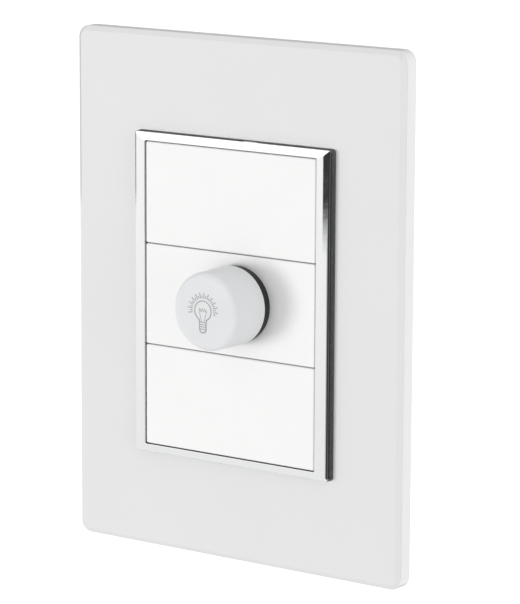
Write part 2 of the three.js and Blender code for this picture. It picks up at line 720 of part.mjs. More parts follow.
/** Axial component in front of the board, with its leads bent back to the board. */
function axialPart(z, radius, length) {
  const { x, lead } = AXIAL;
  const y = BOARD.front - radius - AXIAL.gap;
  const reach = length / 2 + AXIAL.leadLength;
  const body = rod(radius, -length / 2, length / 2, 0, 0, SMALL_ROUND);
  body.rotateZ(Math.PI / 2);
  body.translate(x, y, z);
  const straight = block(around(x, 2 * reach), around(y, 2 * lead), around(z, 2 * lead));
  const bent = [-1, 1].map((side) => (
    block(around(x + side * (reach - lead), 2 * lead), [y - lead, BOARD.front], around(z, 2 * lead))
  ));
  return carve(body, { add: [straight, ...bent] });
}

// ---------------------------------------------------------------- wire terminals

const CAGE = { width: 6, depth: 6, wall: 0.8, bottom: -4.6, floor: 1.2, window: 7.4, roof: 1 };
const CLAMP_SCREW = { radius: 1.75, headRadius: 2.7, headHeight: 1.7, bottom: -9.1, slot: 0.9 };
const BAR = { width: 3.6, bottom: -0.6, thickness: 1, back: TERMINAL_Y + 2.8 };

/** Strip of copper alloy from the board through the clamp cage. */
function terminalBar(x) {
  const height = [BAR.bottom, BAR.bottom + BAR.thickness];
  return block(around(x, BAR.width), [BOARD.back, BAR.back], height);
}

/** Rising cage, open along Y for the wire and the bar, with a hole in its floor for the screw. */
function clampCage(x) {
  const top = CAGE.bottom + CAGE.floor + CAGE.window + CAGE.roof;
  const outer = block(around(x, CAGE.width), around(TERMINAL_Y, CAGE.depth), [CAGE.bottom, top]);
  const window = block(
    around(x, CAGE.width - 2 * CAGE.wall),
    around(TERMINAL_Y, CAGE.depth + 2),
    [CAGE.bottom + CAGE.floor, top - CAGE.roof],
  );
  const screwHole = post(
    CLAMP_SCREW.radius + SLIDING,
    CAGE.bottom - 1,
    CAGE.bottom + CAGE.floor + 1,
    x,
    TERMINAL_Y,
  );
  return carve(outer, { cut: [window, screwHole] });
}

/** Clamp screw along Z: its head faces down and its tip bears on the bar. */
function clampScrew(x) {
  const headTop = CLAMP_SCREW.bottom + CLAMP_SCREW.headHeight;
  const head = post(CLAMP_SCREW.headRadius, CLAMP_SCREW.bottom, headTop, x, TERMINAL_Y);
  const shank = post(CLAMP_SCREW.radius, headTop - ROOT, BAR.bottom, x, TERMINAL_Y);
  const slot = block(
    around(x, 2 * CLAMP_SCREW.headRadius + 1),
    around(TERMINAL_Y, CLAMP_SCREW.slot),
    [CLAMP_SCREW.bottom - 1, CLAMP_SCREW.bottom + CLAMP_SCREW.slot],
  );
  return carve(head, { add: [shank], cut: [slot] });
}

// ---------------------------------------------------------------- the assembly

part('glass_plate', 'whiteGlass', glassPlate());
part('plate_chassis', 'whitePlastic', plateChassis());
part('bezel_frame', 'chrome', bezelFrame());
part('support_frame', 'greyPlastic', supportFrame());
part('mounting_screw_top', 'steel', boxScrew(SCREW_SPACING / 2));
part('mounting_screw_bottom', 'steel', boxScrew(-SCREW_SPACING / 2));
part('blank_insert_top', 'whitePlastic', moduleShell(MODULE.height));
part('blank_insert_bottom', 'whitePlastic', moduleShell(-MODULE.height));

part('dimmer_front_cover', 'whitePlastic', dimmerFrontCover());
part('dimmer_housing', 'greyPlastic', dimmerHousing());
for (const [side, place] of Object.entries(CASE_SCREWS)) {
  part(`housing_screw_${side}`, 'steel', caseScrew(place));
}

part('knob', 'knobPlastic', knob());
part('knob_spring_clip', 'steel', knobSpringClip());
part('shaft', 'steel', shaft());
part('knob_collar', 'blackPlastic', knobCollar());
part('threaded_bushing', 'brass', threadedBushing());
part('bushing_nut', 'steel', bushingNut());
part('bushing_washer', 'steel', bushingWasher());
part('potentiometer_body', 'steel', potentiometerBody());
part('wiper', 'brass', wiper());
part('track_wafer', 'phenolic', trackWafer());
part('potentiometer_cap', 'phenolic', potentiometerCap());
for (const [side, offset] of Object.entries(LEGS)) {
  part(`potentiometer_leg_${side}`, 'brass', potentiometerLeg(offset));
}
part('off_switch', 'blackPlastic', offSwitch());

part('circuit_board', 'boardGreen', circuitBoard());
part('triac', 'blackPlastic', triac());
part('heat_sink', 'aluminium', heatSink());
part('choke_core', 'ferrite', chokeCore());
part('choke_winding', 'copper', chokeWinding());
part('capacitor', 'capacitorYellow', capacitor());
part('fuse', 'whitePlastic', axialPart(-6, 1.3, 7.2));
part('resistor', 'componentTan', axialPart(-2, 1.2, 6.4));
part('diac', 'copper', axialPart(1.6, 0.9, 4));

for (const [name, x] of Object.entries(TERMINALS)) {
  part(`terminal_bar_${name}`, 'brass', terminalBar(x));
  part(`terminal_screw_${name}`, 'steel', clampScrew(x));
  part(`clamp_cage_${name}`, 'steel', clampCage(x));
}

export default assembly;
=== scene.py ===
"""Looks of the rotary dimmer on its glass wall plate: fine meshes, finishes, studio and camera.

Lengths are in metres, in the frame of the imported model: X runs right and Z up as seen from the
room, -Y points into the room, and the wall surface is the plane y = 0.
"""

import math

import bmesh
import bpy
from mathutils import Matrix, Vector


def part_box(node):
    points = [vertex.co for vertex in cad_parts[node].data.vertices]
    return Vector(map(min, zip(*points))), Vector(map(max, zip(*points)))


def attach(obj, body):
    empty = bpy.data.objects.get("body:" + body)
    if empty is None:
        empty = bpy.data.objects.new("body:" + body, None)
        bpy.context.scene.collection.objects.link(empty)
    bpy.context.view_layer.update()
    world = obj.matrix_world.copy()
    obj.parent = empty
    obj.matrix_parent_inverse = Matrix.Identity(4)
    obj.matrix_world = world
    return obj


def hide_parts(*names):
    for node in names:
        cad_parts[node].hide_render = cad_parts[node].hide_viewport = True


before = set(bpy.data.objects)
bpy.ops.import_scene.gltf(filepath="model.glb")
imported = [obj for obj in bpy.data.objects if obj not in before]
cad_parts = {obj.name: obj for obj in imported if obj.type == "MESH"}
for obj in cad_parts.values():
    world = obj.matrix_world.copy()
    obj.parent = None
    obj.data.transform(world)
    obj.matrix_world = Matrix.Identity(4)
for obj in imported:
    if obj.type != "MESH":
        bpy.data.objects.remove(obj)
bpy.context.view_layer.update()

MM = 0.001

# ---------------------------------------------------------------- sizes read from the frame

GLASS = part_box("glass_plate")
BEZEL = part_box("bezel_frame")
STACK = (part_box("blank_insert_bottom")[0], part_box("blank_insert_top")[1])
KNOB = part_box("knob")
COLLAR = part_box("knob_collar")
FACE_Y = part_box("dimmer_front_cover")[0].y


def outline(node, y_from, y_to):
    """Half width and half height of a CAD node between two depths."""
    points = [v.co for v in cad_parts[node].data.vertices if y_from <= v.co.y <= y_to]
    return max(abs(p.x) for p in points), max(abs(p.z) for p in points)


def radius_near(node, axis, y, reach):
    """Largest radius of a turned CAD node round an axis along Y, near one depth."""
    points = [v.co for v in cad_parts[node].data.vertices if abs(v.co.y - y) < reach]
    return max(math.hypot(p.x - axis.x, p.z - axis.z) for p in points)


def middle(box):
    """Centre of a (lowest, highest) box."""
    return (box[0] + box[1]) / 2


FACE_HALF_WIDTH = outline("blank_insert_top", FACE_Y, FACE_Y + 1 * MM)[0]
KNOB_FILLET = 1.4 * MM
KNOB_AXIS = middle(KNOB)
KNOB_FRONT = KNOB[0].y
KNOB_BACK = KNOB[1].y
KNOB_BACK_RADIUS = (KNOB[1].x - KNOB[0].x) / 2
KNOB_FRONT_RADIUS = radius_near("knob", KNOB_AXIS, KNOB_FRONT + KNOB_FILLET, 0.1 * MM)

# ---------------------------------------------------------------- meshes

WELD = 1e-7  # points of a new piece that are closer than this become one
CAD_WELD = 1e-6
CAD_FLAT = 0.5  # degrees; smaller angles between the facets of a CAD node are flattened
SMOOTH_UNDER = 50  # degrees; faces that meet at less are shaded as one surface
QUARTERS = ((1, 1), (-1, 1), (-1, -1), (1, -1))  # signs of x and z, anticlockwise
CORNER_STEPS = 8
TURNED_SIDES = 128


def make_piece(name, vertices, faces, *materials):
    """A new object from welded vertices and faces, with its normals facing out."""
    mesh = bpy.data.meshes.new(name)
    mesh.from_pydata([tuple(v) for v in vertices], [], faces)
    work = bmesh.new()
    work.from_mesh(mesh)
    bmesh.ops.remove_doubles(work, verts=work.verts, dist=WELD)
    bmesh.ops.dissolve_degenerate(work, edges=work.edges, dist=WELD)
    bmesh.ops.recalc_face_normals(work, faces=work.faces)
    for face in work.faces:
        face.smooth = True
    work.to_mesh(mesh)
    work.free()
    for material in materials:
        mesh.materials.append(material)
    piece = bpy.data.objects.new(name, mesh)
    bpy.context.scene.collection.objects.link(piece)
    return piece


def skin(loops, ring=False):
    """Vertices and quads through loops of equal length; a ring also joins the last to the first."""
    count = len(loops[0])
    vertices = [point for loop in loops for point in loop]
    faces = []
    for low in range(len(loops) if ring else len(loops) - 1):
        high = (low + 1) % len(loops)
        for i in range(count):
            j = (i + 1) % count
            faces.append((low * count + i, low * count + j, high * count + j, high * count + i))
    return vertices, faces


def rounded_loop(half_width, half_height, radius, y):
    """Rectangle with round corners in a plane of constant y."""
    points = []
    for quarter, (side_x, side_z) in enumerate(QUARTERS):
        for step in range(CORNER_STEPS + 1):
            angle = math.pi / 2 * (quarter + step / CORNER_STEPS)
            x = side_x * (half_width - radius) + radius * math.cos(angle)
            z = side_z * (half_height - radius) + radius * math.sin(angle)
            points.append((x, y, z))
    return points


def turned(profile, axis, ring=False):
    """Surface of revolution about an axis along Y through (radius, y) points."""
    loops = []
    for radius, y in profile:
        loop = []
        for i in range(TURNED_SIDES):
            angle = 2 * math.pi * i / TURNED_SIDES
            loop.append((axis.x + radius * math.cos(angle), y, axis.z + radius * math.sin(angle)))
        loops.append(loop)
    return skin(loops, ring)


def arc(centre, radii, start, end, steps):
    """Points on an ellipse from one angle to another, in degrees; both ends are included."""
    points = []
    for step in range(steps + 1):
        angle = math.radians(start + (end - start) * step / steps)
        points.append((centre[0] + radii[0] * math.cos(angle), centre[1] + radii[1] * math.sin(angle)))
    return points


def sharp_edges_group():
    """Geometry nodes that shade a mesh smooth, except over its sharp edges."""
    group = bpy.data.node_groups.new("sharp_edges", "GeometryNodeTree")
    group.interface.new_socket("Geometry", in_out="INPUT", socket_type="NodeSocketGeometry")
    group.interface.new_socket("Geometry", in_out="OUTPUT", socket_type="NodeSocketGeometry")
    source = group.nodes.new("NodeGroupInput")
    result = group.nodes.new("NodeGroupOutput")
    smooth = group.nodes.new("GeometryNodeSetShadeSmooth")
    smooth.domain = "FACE"
    smooth.inputs["Shade Smooth"].default_value = True
    sharp = group.nodes.new("GeometryNodeSetShadeSmooth")
    sharp.domain = "EDGE"
    sharp.inputs["Shade Smooth"].default_value = False
    edge_angle = group.nodes.new("GeometryNodeInputMeshEdgeAngle")
    compare = group.nodes.new("FunctionNodeCompare")
    compare.operation = "GREATER_THAN"
    compare.inputs["B"].default_value = math.radians(SMOOTH_UNDER)
    group.links.new(source.outputs[0], smooth.inputs["Geometry"])
    group.links.new(smooth.outputs[0], sharp.inputs["Geometry"])
    group.links.new(edge_angle.outputs["Unsigned Angle"], compare.inputs["A"])
    group.links.new(compare.outputs["Result"], sharp.inputs["Selection"])
    group.links.new(sharp.outputs[0], result.inputs[0])
    return group


SHARP_EDGES = sharp_edges_group()


def shade(piece):
    """Shades a piece smooth, except over its sharp edges."""
    shading = piece.modifiers.new("shading", "NODES")
    shading.node_group = SHARP_EDGES


def round_edges(piece, width, segments=2, angle=35):
    """Rounds the edges sharper than an angle, and shades flat faces so that they stay flat."""
    rounding = piece.modifiers.new("edges", "BEVEL")
    rounding.width = width
    rounding.segments = segments
    rounding.limit_method = "ANGLE"
    rounding.angle_limit = math.radians(angle)
    shade(piece)
    normals = piece.modifiers.new("normals", "WEIGHTED_NORMAL")
    normals.keep_sharp = True
    normals.weight = 100


def refine_node(name, material, width):
    """Gives a CAD node its finish, clean flat faces and slightly rounded edges."""
    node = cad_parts[name]
    mesh = node.data
    if mesh.attributes.get("custom_normal"):
        mesh.attributes.remove(mesh.attributes["custom_normal"])
    mesh.materials.clear()
    mesh.materials.append(material)
    weld = node.modifiers.new("weld", "WELD")
    weld.merge_threshold = CAD_WELD
    flatten = node.modifiers.new("flatten", "DECIMATE")
    flatten.decimate_type = "DISSOLVE"
    flatten.angle_limit = math.radians(CAD_FLAT)
    round_edges(node, width)


# ---------------------------------------------------------------- material nodes


def map_range(tree, value, source, target):
    """Maps a value linearly from one (low, high) range to another, and clamps it."""
    node = tree.nodes.new("ShaderNodeMapRange")
    node.inputs["From Min"].default_value = source[0]
    node.inputs["From Max"].default_value = source[1]
    node.inputs["To Min"].default_value = target[0]
    node.inputs["To Max"].default_value = target[1]
    tree.links.new(value, node.inputs["Value"])
    return node.outputs["Result"]


NOISE_MIDDLE = (0.3, 0.7)  # the range that most of a noise's values fall in
CONVEX = (0.52, 0.62)  # pointiness of an edge where wear starts, and where it is full


class Shader:
    """A node material with short ways to add the nodes that the finishes share.

    Scales are in cycles per metre, and heights in metres.
    """

    def __init__(self, name):
        self.material = bpy.data.materials.new(name)
        self.material.use_nodes = True
        self.tree = self.material.node_tree
        self.principled = self.tree.nodes["Principled BSDF"]
        self.place = self.tree.nodes.new("ShaderNodeTexCoord").outputs["Object"]

    def link(self, source, target):
        self.tree.links.new(source, target)

    def noise(self, scale, detail=3.0):
        """Noise from 0 to 1."""
        node = self.tree.nodes.new("ShaderNodeTexNoise")
        node.inputs["Scale"].default_value = scale
        node.inputs["Detail"].default_value = detail
        node.inputs["Roughness"].default_value = 0.55
        self.link(self.place, node.inputs["Vector"])
        return node.outputs["Fac"]

    def spread(self, value, low, high, source=NOISE_MIDDLE):
        """Maps a factor from its source range to low..high."""
        return map_range(self.tree, value, source, (low, high))

    def blend_base_color(self, factor, color):
        """Node that blends the base colour toward another one by a factor."""
        node = self.tree.nodes.new("ShaderNodeMix")
        node.data_type = "RGBA"
        node.inputs["B"].default_value = (*color, 1)
        self.link(factor, node.inputs["Factor"])
        self.link(node.outputs["Result"], self.principled.inputs["Base Color"])
        return node

    def set_color(self, color, variation, scale):
        """Base colour that drifts a little lighter and darker over the surface."""
        darker = [c * (1 - variation) for c in color]
        lighter = [min(1.0, c * (1 + variation)) for c in color]
        node = self.blend_base_color(self.spread(self.noise(scale), 0, 1), lighter)
        node.inputs["A"].default_value = (*darker, 1)

    def set_roughness(self, roughness, variation, scale):
        mottle = self.spread(self.noise(scale), roughness - variation, roughness + variation)
        self.link(mottle, self.principled.inputs["Roughness"])

    def add_bump(self, height, scale, detail=3.0, after=None):
        """Surface relief, on top of that of an earlier bump node; returns the new node."""
        node = self.tree.nodes.new("ShaderNodeBump")
        node.inputs["Strength"].default_value = 1.0
        node.inputs["Distance"].default_value = height
        self.link(self.noise(scale, detail), node.inputs["Height"])
        if after:
            self.link(after.outputs["Normal"], node.inputs["Normal"])
        self.link(node.outputs["Normal"], self.principled.inputs["Normal"])
        return node

    def add_edge_wear(self, worn, amount):
        """Blends a worn tone over convex edges, where hands and tools rub."""
        geometry = self.tree.nodes.new("ShaderNodeNewGeometry")
        edge = self.spread(geometry.outputs["Pointiness"], 0, amount, CONVEX)
        unworn = self.principled.inputs["Base Color"].links[0].from_socket
        node = self.blend_base_color(edge, worn)
        self.link(unworn, node.inputs["A"])


MICRON = 1e-6


def plastic(
    name, color, roughness, grain=0.4 * MICRON, grain_scale=9000, variation=0.015, mottle=0.04, worn=None
):
    """Moulded plastic: faint colour drift, a fine moulded grain and slow waves of sink."""
    shader = Shader(name)
    shader.set_color(color, variation, scale=160)
    shader.set_roughness(roughness, mottle, scale=420)
    waves = shader.add_bump(1 * MICRON, scale=60, detail=1.0)
    shader.add_bump(grain, grain_scale, after=waves)
    if worn:
        shader.add_edge_wear(worn, amount=0.5)
    return shader


def metal(name, color, roughness, variation=0.06, worn=None):
    """Plated or bare metal with patchy tarnish and fine tool marks."""
    shader = Shader(name)
    shader.principled.inputs["Metallic"].default_value = 1.0
    shader.set_color(color, variation, scale=700)
    shader.set_roughness(roughness, 0.08, scale=1500)
    shader.add_bump(0.4 * MICRON, scale=6000)
    if worn:
        shader.add_edge_wear(worn, amount=0.6)
    return shader


def white_plastic():
    white = (0.90, 0.90, 0.895)
    return plastic("module_white", white, 0.34, 0.2 * MICRON, variation=0.006, mottle=0.01).material


def carrier_plastic():
    return plastic("carrier_white", (0.80, 0.80, 0.79), 0.42, 1.2 * MICRON).material


def knob_plastic():
    """Satin plastic that lets a little light in under its surface."""
    shader = plastic("knob_satin", (0.77, 0.78, 0.79), 0.48, 0.8 * MICRON, grain_scale=12000)
    shader.principled.inputs["Subsurface Weight"].default_value = 0.25
    shader.principled.inputs["Subsurface Radius"].default_value = (0.9, 0.95, 1.0)
    shader.principled.inputs["Subsurface Scale"].default_value = 1.2 * MM
    return shader.material


def print_ink():
    return plastic("print_ink", (0.30, 0.31, 0.31), 0.55, 0.6 * MICRON, variation=0.12).material


def collar_plastic():
    black, worn = (0.006, 0.008, 0.007), (0.05, 0.05, 0.05)
    return plastic("collar_black", black, 0.42, variation=0.15, worn=worn).material


def grey_plastic():
    grey, worn = (0.42, 0.44, 0.45), (0.55, 0.57, 0.58)
    return plastic("casing_grey", grey, 0.5, 2.5 * MICRON, variation=0.03, worn=worn).material


def black_plastic():
    return plastic("component_black", (0.03, 0.03, 0.032), 0.5, 2 * MICRON, variation=0.15).material


def phenolic():
    return plastic("phenolic_brown", (0.30, 0.17, 0.09), 0.55, 3 * MICRON, variation=0.15).material


def board_green():
    return plastic("board_green", (0.05, 0.24, 0.11), 0.35, 2 * MICRON, variation=0.1).material


def capacitor_yellow():
    return plastic("capacitor_yellow", (0.80, 0.55, 0.08), 0.35, variation=0.04).material


def component_tan():
    return plastic("component_tan", (0.62, 0.45, 0.26), 0.35, variation=0.06).material


def ferrite():
    return plastic("ferrite_grey", (0.05, 0.05, 0.055), 0.65, 6 * MICRON, variation=0.2).material


def chrome():
    """Polished plating on plastic: a mirror with slow waves and a few faint smears."""
    shader = metal("chrome_plating", (0.93, 0.935, 0.94), 0.05, variation=0.01)
    shader.set_roughness(0.035, 0.02, scale=260)
    waves = shader.add_bump(1.2 * MICRON, scale=420, detail=2.0)
    shader.add_bump(0.25 * MICRON, scale=2200, after=waves)
    return shader.material


def steel():
    return metal("zinc_steel", (0.62, 0.64, 0.67), 0.34, worn=(0.8, 0.8, 0.8)).material


def brass():
    return metal("brass", (0.78, 0.58, 0.27), 0.30).material


def copper_wire():
    return metal("enamelled_copper", (0.72, 0.30, 0.12), 0.28).material


def aluminium():
    return metal("aluminium", (0.80, 0.81, 0.82), 0.40).material


def white_glass():
    """Lacquered glass: an even white under a clear, mirror-smooth and almost flat surface."""
    shader = Shader("white_glass")
    shader.set_color((0.76, 0.765, 0.76), 0.006, scale=60)
    shader.set_roughness(0.03, 0.015, scale=300)
    shader.add_bump(0.8 * MICRON, scale=60, detail=1.0)
    return shader.material


def edge_lacquer_painted_light():
    """Lacquer of the sides and back, painted brighter than the front: painted light for the glow through
    the glass edge.
    """
    return plastic("edge_lacquer_painted_light", (0.97, 0.975, 0.97), 0.35, 0.5 * MICRON, variation=0.008).material


# ---------------------------------------------------------------- plate and bezel

CHAMFER = (1.1 * MM, 0.8 * MM)  # width and depth of the chamfer round the glass
GLASS_CORNER = 2.6 * MM
GLASS_ROUNDING = 0.12 * MM
FACES_ROOM = -0.3  # y of the normals of the faces that are polished
BOND = 0.03 * MM  # between the lacquered back of the glass and its carrier
HOLE_LAP = (1.8 * MM, 1.3 * MM)  # how far the bezel covers the hole's edge, at the sides and the ends
HOLE_CORNER = 1 * MM
BEZEL_CORNER = 0.9 * MM
BEZEL_ROUNDING = 0.1 * MM
BEZEL_LIP = 0.12 * MM  # rounding at the window
LIP_TURN = 80  # degrees that the lip turns through, in so many steps
LIP_STEPS = 4
BEZEL_TILT = (5, 24)  # degrees that the crowned face leans outward, at the window and at the brow
CROWN_STEPS = 20
BEZEL_SIDE = 0.35 * MM  # width of the rounded slope from the brow down to the glass
BEZEL_SIDE_TILT = (45, 90)  # degrees that the side leans, at the brow and at the glass
SIDE_STEPS = 12
WINDOW_GAP = 0.2 * MM
WINDOW_CORNER = 0.4 * MM
SKIRT_GAP = 0.2 * MM
SKIRT_CORNER = 0.8 * MM


def plate_glass(glass, painted_light_edge):
    """Glass plate as one closed body: polished in front, its sides and back painted a brighter white as
    painted light.
    """
    half_width, half_height = GLASS[1].x, GLASS[1].z
    front, back = GLASS[0].y, GLASS[1].y - BOND
    hole_width, hole_height = BEZEL[1].x - HOLE_LAP[0], BEZEL[1].z - HOLE_LAP[1]
    inset, depth = CHAMFER
    loops = [
        rounded_loop(hole_width, hole_height, HOLE_CORNER, back),
        rounded_loop(hole_width, hole_height, HOLE_CORNER, front),
        rounded_loop(half_width - inset, half_height - inset, GLASS_CORNER - inset, front),
        rounded_loop(half_width, half_height, GLASS_CORNER, front + depth),
        rounded_loop(half_width, half_height, GLASS_CORNER, back),
    ]
    vertices, faces = skin(loops, ring=True)
    piece = make_piece("plate_glass", vertices, faces, glass, painted_light_edge)
    for face in piece.data.polygons:
        # the sides and back get the brighter white: painted light standing for the glow through the glass
        # edge
        face.material_index = 0 if face.normal.y < FACES_ROOM else 1
    round_edges(piece, GLASS_ROUNDING, segments=3, angle=20)
    piece.visible_glossy = False  # keeps the sides of the bezel dark
    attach(piece, "root")
    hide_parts("glass_plate")


def bezel_profile(window_width):
    """Half width and depth along the bezel's outer surface, from the window to the glass."""
    half_width, front, seat = BEZEL[1].x, BEZEL[0].y, GLASS[0].y
    lip_centre = (window_width + BEZEL_LIP, front + BEZEL_LIP)
    points = arc(lip_centre, (-BEZEL_LIP, -BEZEL_LIP), 0, LIP_TURN, LIP_STEPS)
    step_width = (half_width - BEZEL_SIDE - points[-1][0]) / CROWN_STEPS
    y = front
    for step in range(CROWN_STEPS):
        points.append((points[-1][0] + step_width, y))
        lean = BEZEL_TILT[0] + (BEZEL_TILT[1] - BEZEL_TILT[0]) * (step + 0.5) / CROWN_STEPS
        y += step_width * math.tan(math.radians(lean))
    first, last = (math.radians(tilt) for tilt in BEZEL_SIDE_TILT)
    brow = points[-1]
    for step in range(1, SIDE_STEPS + 1):
        lean = first + (last - first) * step / SIDE_STEPS
        across = (math.sin(lean) - math.sin(first)) / (math.sin(last) - math.sin(first))
        down = (math.cos(first) - math.cos(lean)) / (math.cos(first) - math.cos(last))
        points.append((brow[0] + across * (half_width - brow[0]), brow[1] + down * (seat - brow[1])))
    return points


def chrome_frame(material):
    """Bezel: crowned flange on the glass, with a skirt through the glass."""
    half_width, half_height = BEZEL[1].x, BEZEL[1].z
    seat, skirt_back = GLASS[0].y, GLASS[1].y
    window_width = FACE_HALF_WIDTH + WINDOW_GAP
    window_height = STACK[1].z + WINDOW_GAP
    stretch = (half_height - window_height) / (half_width - window_width)
    skirt_width = half_width - HOLE_LAP[0] - SKIRT_GAP
    skirt_height = half_height - HOLE_LAP[1] - SKIRT_GAP
    loops = [rounded_loop(window_width, window_height, WINDOW_CORNER, skirt_back)]
    for width, y in bezel_profile(window_width):
        inset = half_width - width
        corner = max(BEZEL_CORNER - inset, WINDOW_CORNER)
        loops.append(rounded_loop(width, half_height - inset * stretch, corner, y))
    loops.append(rounded_loop(skirt_width, skirt_height, SKIRT_CORNER, seat))
    loops.append(rounded_loop(skirt_width, skirt_height, SKIRT_CORNER, skirt_back))
    vertices, faces = skin(loops, ring=True)
    piece = make_piece("chrome_frame", vertices, faces, material)
    round_edges(piece, BEZEL_ROUNDING, segments=3, angle=24)
    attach(piece, "root")
    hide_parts("bezel_frame")


# ---------------------------------------------------------------- knob, its ring and its print

KNOB_RIM = 0.22 * MM  # chamfer at the back
KNOB_WALL = 1.4 * MM
KNOB_FACE = 1.8 * MM  # thickness
KNOB_ROUNDING = 0.1 * MM
HUB_RADIUS = 4.7 * MM
HUB_BORE = 3.3 * MM
HUB_BACK = FACE_Y - 4.6 * MM
COLLAR_BORE = 6.9 * MM
COLLAR_ROUNDING = 0.15 * MM
PRINT_HEIGHT = 0.02 * MM


def dimmer_knob(material):
    """Knob with a slight taper, a round front edge and a thin chamfer at its back rim."""
    face = KNOB_FRONT + PRINT_HEIGHT
    fillet_centre = (KNOB_FRONT_RADIUS - KNOB_FILLET, face + KNOB_FILLET)
    inner_front = KNOB_FRONT + KNOB_FACE
    profile = [(0, face), (fillet_centre[0] / 2, face)]
    profile += arc(fillet_centre, (KNOB_FILLET, KNOB_FILLET), -90, 0, steps=12)
    profile += [
        (KNOB_BACK_RADIUS, KNOB_BACK - KNOB_RIM),
        (KNOB_BACK_RADIUS - KNOB_RIM, KNOB_BACK),
        (KNOB_BACK_RADIUS - KNOB_WALL, KNOB_BACK),
        (KNOB_FRONT_RADIUS - KNOB_WALL, inner_front),
        (HUB_RADIUS, inner_front),
        (HUB_RADIUS, HUB_BACK),
        (HUB_BORE, HUB_BACK),
        (HUB_BORE, inner_front),
        (0, inner_front),
    ]
    vertices, faces = turned(profile, KNOB_AXIS)
    piece = make_piece("dimmer_knob", vertices, faces, material)
    round_edges(piece, KNOB_ROUNDING, segments=3)
    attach(piece, "knob_set")
    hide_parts("knob")


def knob_ring(material):
    """Black ring round the foot of the knob, fixed to the module."""
    front, back = COLLAR[0].y, COLLAR[1].y
    radius = (COLLAR[1].x - COLLAR[0].x) / 2
    profile = [(COLLAR_BORE, front), (radius, front), (radius, back), (COLLAR_BORE, back)]
    vertices, faces = turned(profile, middle(COLLAR), ring=True)
    piece = make_piece("knob_ring", vertices, faces, material)
    round_edges(piece, COLLAR_ROUNDING, segments=3)
    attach(piece, "root")
    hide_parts("knob_collar")


PRINT_SHIFT = (-0.5 * MM, 0.25 * MM)  # of the lamp's globe from the knob's axis
LINE = 0.2 * MM  # width of the outline; the other lines are a share of it
THREAD_LINE = 0.6 * LINE
FILAMENT_LINE = 0.55 * LINE
SUPPORT_LINE = 0.5 * LINE
RAY_LINE = 0.85 * LINE
GLOBE_RADIUS = 2.15 * MM
GLOBE_OPENING = 38  # degrees on each side of the bottom
NECK = (0.95 * MM, -2.35 * MM)  # half width and height of the neck, from the globe's centre
SHOULDER_PULLS = (0.9 * MM, 0.8 * MM)  # of the curve from globe to neck, at its ends
SHOULDER_STEPS = 10
BASE_WIDTH = 0.88 * NECK[0]  # half width of the screw base
BASE_BOTTOM = -4.75 * MM
BASE_THREADS = 4
THREAD_PITCH = 0.5 * MM
THREAD_TOP = NECK[1] - 0.05 * MM
THREAD_SLOPE = 0.14 * MM
FILAMENT_WIDTH = 2 * MM
FILAMENT_HEIGHT = 0.15 * MM
FILAMENT_WAVES = 3
FILAMENT_SWING = 0.35 * MM
FILAMENT_STEPS = 32
SUPPORT_FOOT = 0.35 * MM
RAY_COUNT = 24
RAY_START = 2.75 * MM
RAY_ENDS = (3.35 * MM, 3.95 * MM)
RAY_SPAN = 200  # degrees, centred on the top


def stroke(points, width):
    """Vertices and faces of a flat line of a given width, standing on the knob's face."""
    top, bottom = KNOB_FRONT, KNOB_FRONT + 2 * PRINT_HEIGHT
    rows = []
    for i, point in enumerate(points):
        before = points[max(i - 1, 0)]
        after = points[min(i + 1, len(points) - 1)]
        along = Vector((after[0] - before[0], after[1] - before[1])).normalized()
        side = Vector((-along.y, along.x)) * width / 2
        left = (point[0] + side.x, point[1] + side.y)
        right = (point[0] - side.x, point[1] - side.y)
        corners = ((left, top), (right, top), (right, bottom), (left, bottom))
        rows.append([place_print(corner, y) for corner, y in corners])
    vertices, faces = skin(rows)
    last = 4 * (len(points) - 1)
    faces += [(3, 2, 1, 0), (last, last + 1, last + 2, last + 3)]
    return vertices, faces


def place_print(point, y):
    """Point of the room from one of the print, measured from the globe's centre."""
    return (
        KNOB_AXIS.x + PRINT_SHIFT[0] + point[0],
        y,
        KNOB_AXIS.z + PRINT_SHIFT[1] + point[1],
    )


def lamp_outline():
    """Globe, with shoulders drawn in to the neck by a smooth curve."""
    globe_radii = (GLOBE_RADIUS, GLOBE_RADIUS)
    globe = arc((0, 0), globe_radii, -90 + GLOBE_OPENING, 270 - GLOBE_OPENING, steps=40)
    start, end = Vector(globe[-1]), Vector((-NECK[0], NECK[1]))
    handle_in = start + Vector((-start.y, start.x)).normalized() * SHOULDER_PULLS[0]
    handle_out = end + Vector((0, SHOULDER_PULLS[1]))
    shoulder = []
    for step in range(1, SHOULDER_STEPS + 1):
        t = step / SHOULDER_STEPS
        point = (
            start * (1 - t) ** 3 + handle_in * 3 * t * (1 - t) ** 2
            + handle_out * 3 * t * t * (1 - t) + end * t ** 3
        )
        shoulder.append((point.x, point.y))
    mirrored = [(-x, y) for x, y in reversed(shoulder)]
    return mirrored + globe + shoulder


def lamp_lines():
    """Points and width of each printed line: the outline, base, threads, filament and supports."""
    lines = [(lamp_outline(), LINE)]
    base = [(-BASE_WIDTH, NECK[1])]
    base += arc((0, BASE_BOTTOM + BASE_WIDTH), (BASE_WIDTH, BASE_WIDTH), 180, 360, steps=14)
    base += [(BASE_WIDTH, NECK[1])]
    lines.append((base, LINE))
    for row in range(BASE_THREADS):
        z = THREAD_TOP - row * THREAD_PITCH
        lines.append(([(-BASE_WIDTH, z), (BASE_WIDTH, z - THREAD_SLOPE)], THREAD_LINE))
    filament = []
    for step in range(FILAMENT_STEPS + 1):
        t = step / FILAMENT_STEPS
        wave = FILAMENT_SWING * math.sin(2 * math.pi * FILAMENT_WAVES * t)
        filament.append(((t - 0.5) * FILAMENT_WIDTH, FILAMENT_HEIGHT + wave))
    lines.append((filament, FILAMENT_LINE))
    for side in (-1, 1):
        foot = (side * SUPPORT_FOOT, NECK[1])
        lines.append(([foot, (side * FILAMENT_WIDTH / 2, FILAMENT_HEIGHT)], SUPPORT_LINE))
    return lines


